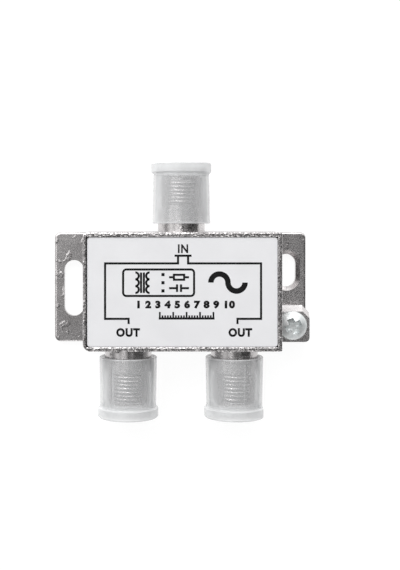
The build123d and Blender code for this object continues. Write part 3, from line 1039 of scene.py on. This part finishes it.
@dataclass
class CoverTacks:
    """The solder tacks that hold the cover in the open back.

    Lengths are in millimetres.

    Attributes:
        inset: how far the tacks lie inside the cover's edge.
        radius: their radius.
        height: how far they stand up from the cover.
        long_share: how far along the long sides they stand.
        short_share: how far along the short sides they stand.
        sides: flat sides round a tack, twice as many as its rings.
    """

    inset: float = 0.35
    radius: float = 1.0
    height: float = 0.17
    long_share: float = 0.55
    short_share: float = 0.35
    sides: int = 20

    def build(self) -> None:
        """Make the tacks in one mesh."""
        low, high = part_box("back_cover")
        xs = (low.x + self.inset * MM, high.x - self.inset * MM)
        ys = (low.y + self.inset * MM, high.y - self.inset * MM)
        places = [(x, y) for x in (xs[0] * self.long_share, 0.0, xs[1] * self.long_share) for y in ys]
        places += [(x, y * self.short_share) for x in xs for y in ys]
        bm = bmesh.new()
        for x, y in places:
            rings = self.sides // 2
            made = bmesh.ops.create_uvsphere(bm, u_segments=self.sides, v_segments=rings, radius=self.radius * MM)
            bmesh.ops.scale(bm, verts=made["verts"], vec=(1.0, 1.0, self.height / self.radius))
            bmesh.ops.translate(bm, verts=made["verts"], vec=(x, y, low.z))
        piece("cover_solder_tacks", bm, SOLDER.material(), CASING, True)


@dataclass(frozen=True)
class Softbox:
    """One soft studio light.

    Attributes:
        name: its name.
        place: where it stands, in metres.
        size: width and length of its face, in metres.
        power: its output in watts.
    """

    name: str
    place: tuple[float, float, float]
    size: tuple[float, float]
    power: float

    def build(self) -> None:
        """Make the light and aim it at the splitter."""
        data = bpy.data.lights.new(self.name, "AREA")
        data.shape = "RECTANGLE"
        data.size, data.size_y = self.size
        data.energy = self.power
        lamp = bpy.data.objects.new(self.name, data)
        lamp.location = self.place
        lamp.rotation_euler = (-Vector(self.place)).to_track_quat("-Z", "Y").to_euler()
        bpy.context.collection.objects.link(lamp)


@dataclass
class Studio:
    """Camera, lights and floor.

    Lengths are in metres, unless millimetres are named.

    Attributes:
        face_height: height of the splitter's face over the floor.
        distance: how far the camera is from the face.
        camera_place: sideways place of the camera over the part.
        sight: pixel of the picture that lies straight under the camera.
        picture: width and height of the picture in pixels.
        focal: focal length in millimetres.
        sensor: width of the sensor in millimetres.
        clip: nearest and farthest distance that the camera sees.
        floor_size: width of the floor.
        floor_drop: how far it lies below the part, in millimetres.
        floor_colour: its sRGB hex colour.
        floor_rough: its roughness.
        floor_glow: how brightly it glows, so that it stays pale under the soft light.
        tent: the light tent's brightness at places from its left side, -1, over the top to its right side, 1.
        tent_ends: brightness of its near end, at the outputs, and of its far end, each with where it sets in.
        boxes: the softboxes.
    """

    face_height: float = 0.014
    distance: float = 0.2
    camera_place: tuple[float, float] = (-0.00855, 0.01454)
    sight: tuple[float, float] = (142.0, 223.0)
    picture: tuple[int, int] = (400, 570)
    focal: float = 60.0
    sensor: float = 36.0
    clip: tuple[float, float] = (0.01, 10.0)
    floor_size: float = 8.0
    floor_drop: float = 0.02
    floor_colour: str = "6A6A6A"
    floor_rough: float = 0.9
    floor_glow: float = 0.92
    tent: tuple[tuple[float, float], ...] = (
        (-1.0, 0.1), (-0.8, 1.5), (-0.6, 0.6), (-0.4, 1.35), (-0.2, 0.7), (0.02, 0.02), (1.0, 0.02),
    )
    tent_ends: tuple[tuple[float, float, float], ...] = ((0.16, -0.02, -0.3), (1.42, 0.25, 0.5))
    boxes: tuple[Softbox, ...] = (
        Softbox("key_softbox", (-0.32, 0.42, 0.42), (0.4, 0.4), 1.15),
        Softbox("far_softbox", (-0.05, 0.5, 0.45), (0.4, 0.4), 1.65),
        Softbox("near_softbox", (0.1, -0.6, 0.35), (0.4, 0.2), 0.75),
        Softbox("left_strip", (-0.37, -0.07, 1.0), (0.02, 0.3), 0.1),
        Softbox("right_strip", (0.3, -0.07, 1.0), (0.055, 0.3), 0.075),
    )

    def build(self) -> None:
        """Make the whole studio."""
        self.camera()
        self.floor()
        for box in self.boxes:
            box.build()
        self.light_tent()
        bpy.context.scene.view_settings.view_transform = "Standard"

    def camera(self) -> None:
        """Make the camera, which looks straight down with its lens shifted as the picture is cropped."""
        data = bpy.data.cameras.new("camera")
        data.lens = self.focal
        data.sensor_width = self.sensor
        wide, tall = self.picture
        data.shift_x = (wide / 2 - self.sight[0]) / tall
        data.shift_y = (self.sight[1] - tall / 2) / tall
        data.clip_start, data.clip_end = self.clip
        camera = bpy.data.objects.new("camera", data)
        camera.location = (*self.camera_place, self.face_height + self.distance)
        bpy.context.collection.objects.link(camera)
        bpy.context.scene.camera = camera

    def light_tent(self) -> None:
        """Surround the splitter with a tent that is bright at the sides and dim overhead."""
        world = bpy.data.worlds.new("light_tent")
        world.use_nodes = True
        tree = world.node_tree
        place = add_node(tree, "TexCoord").outputs["Generated"]
        axes = add_node(tree, "SeparateXYZ", None, {0: place})
        sideways = add_node(tree, "MapRange", {"From Min": -1.0}, {"Value": axes.outputs["X"]})
        sides = add_node(tree, "ValToRGB", None, {"Fac": sideways})
        stops = sides.color_ramp.elements
        for side, grey in self.tent[1:-1]:
            stops.new((side + 1) / 2).color = (grey, grey, grey, 1)
        for stop, (_, grey) in ((stops[0], self.tent[0]), (stops[-1], self.tent[-1])):
            stop.color = (grey, grey, grey, 1)
        colour = sides.outputs["Color"]
        for grey, start, end in self.tent_ends:
            share = add_node(tree, "MapRange", {"From Min": start, "From Max": end}, {"Value": axes.outputs["Y"]})
            mixed = add_node(tree, "Mix", {7: (grey, grey, grey, 1)}, {0: share, 6: colour}, data_type="RGBA")
            colour = mixed.outputs[2]
        tree.links.new(colour, tree.nodes["Background"].inputs["Color"])
        bpy.context.scene.world = world

    def floor(self) -> None:
        """Lay the pale floor just under the part."""
        material = bpy.data.materials.new("pale_studio_floor")
        material.use_nodes = True
        shader = material.node_tree.nodes["Principled BSDF"]
        shader.inputs["Base Color"].default_value = linear(self.floor_colour)
        shader.inputs["Roughness"].default_value = self.floor_rough
        shader.inputs["Specular IOR Level"].default_value = 0.0
        shader.inputs["Emission Color"].default_value = linear("FFFFFF")
        shader.inputs["Emission Strength"].default_value = self.floor_glow
        bm = bmesh.new()
        bmesh.ops.create_grid(bm, x_segments=1, y_segments=1, size=self.floor_size / 2)
        bmesh.ops.translate(bm, verts=bm.verts, vec=(0, 0, -self.floor_drop * MM))
        mesh = bpy.data.meshes.new("floor")
        bm.to_mesh(mesh)
        bm.free()
        mesh.materials.append(material)
        floor = bpy.data.objects.new("floor", mesh)
        bpy.context.collection.objects.link(floor)


def main() -> None:
    """Build the splitter's looks, one sub-assembly after another."""
    logging.basicConfig(level=logging.INFO, format="%(message)s")
    for part in (Nodes(), PortThreads(), LabelPrint(), CapGates(), CoverTacks(), Studio()):
        part.build()


if __name__ == "__main__":
    main()
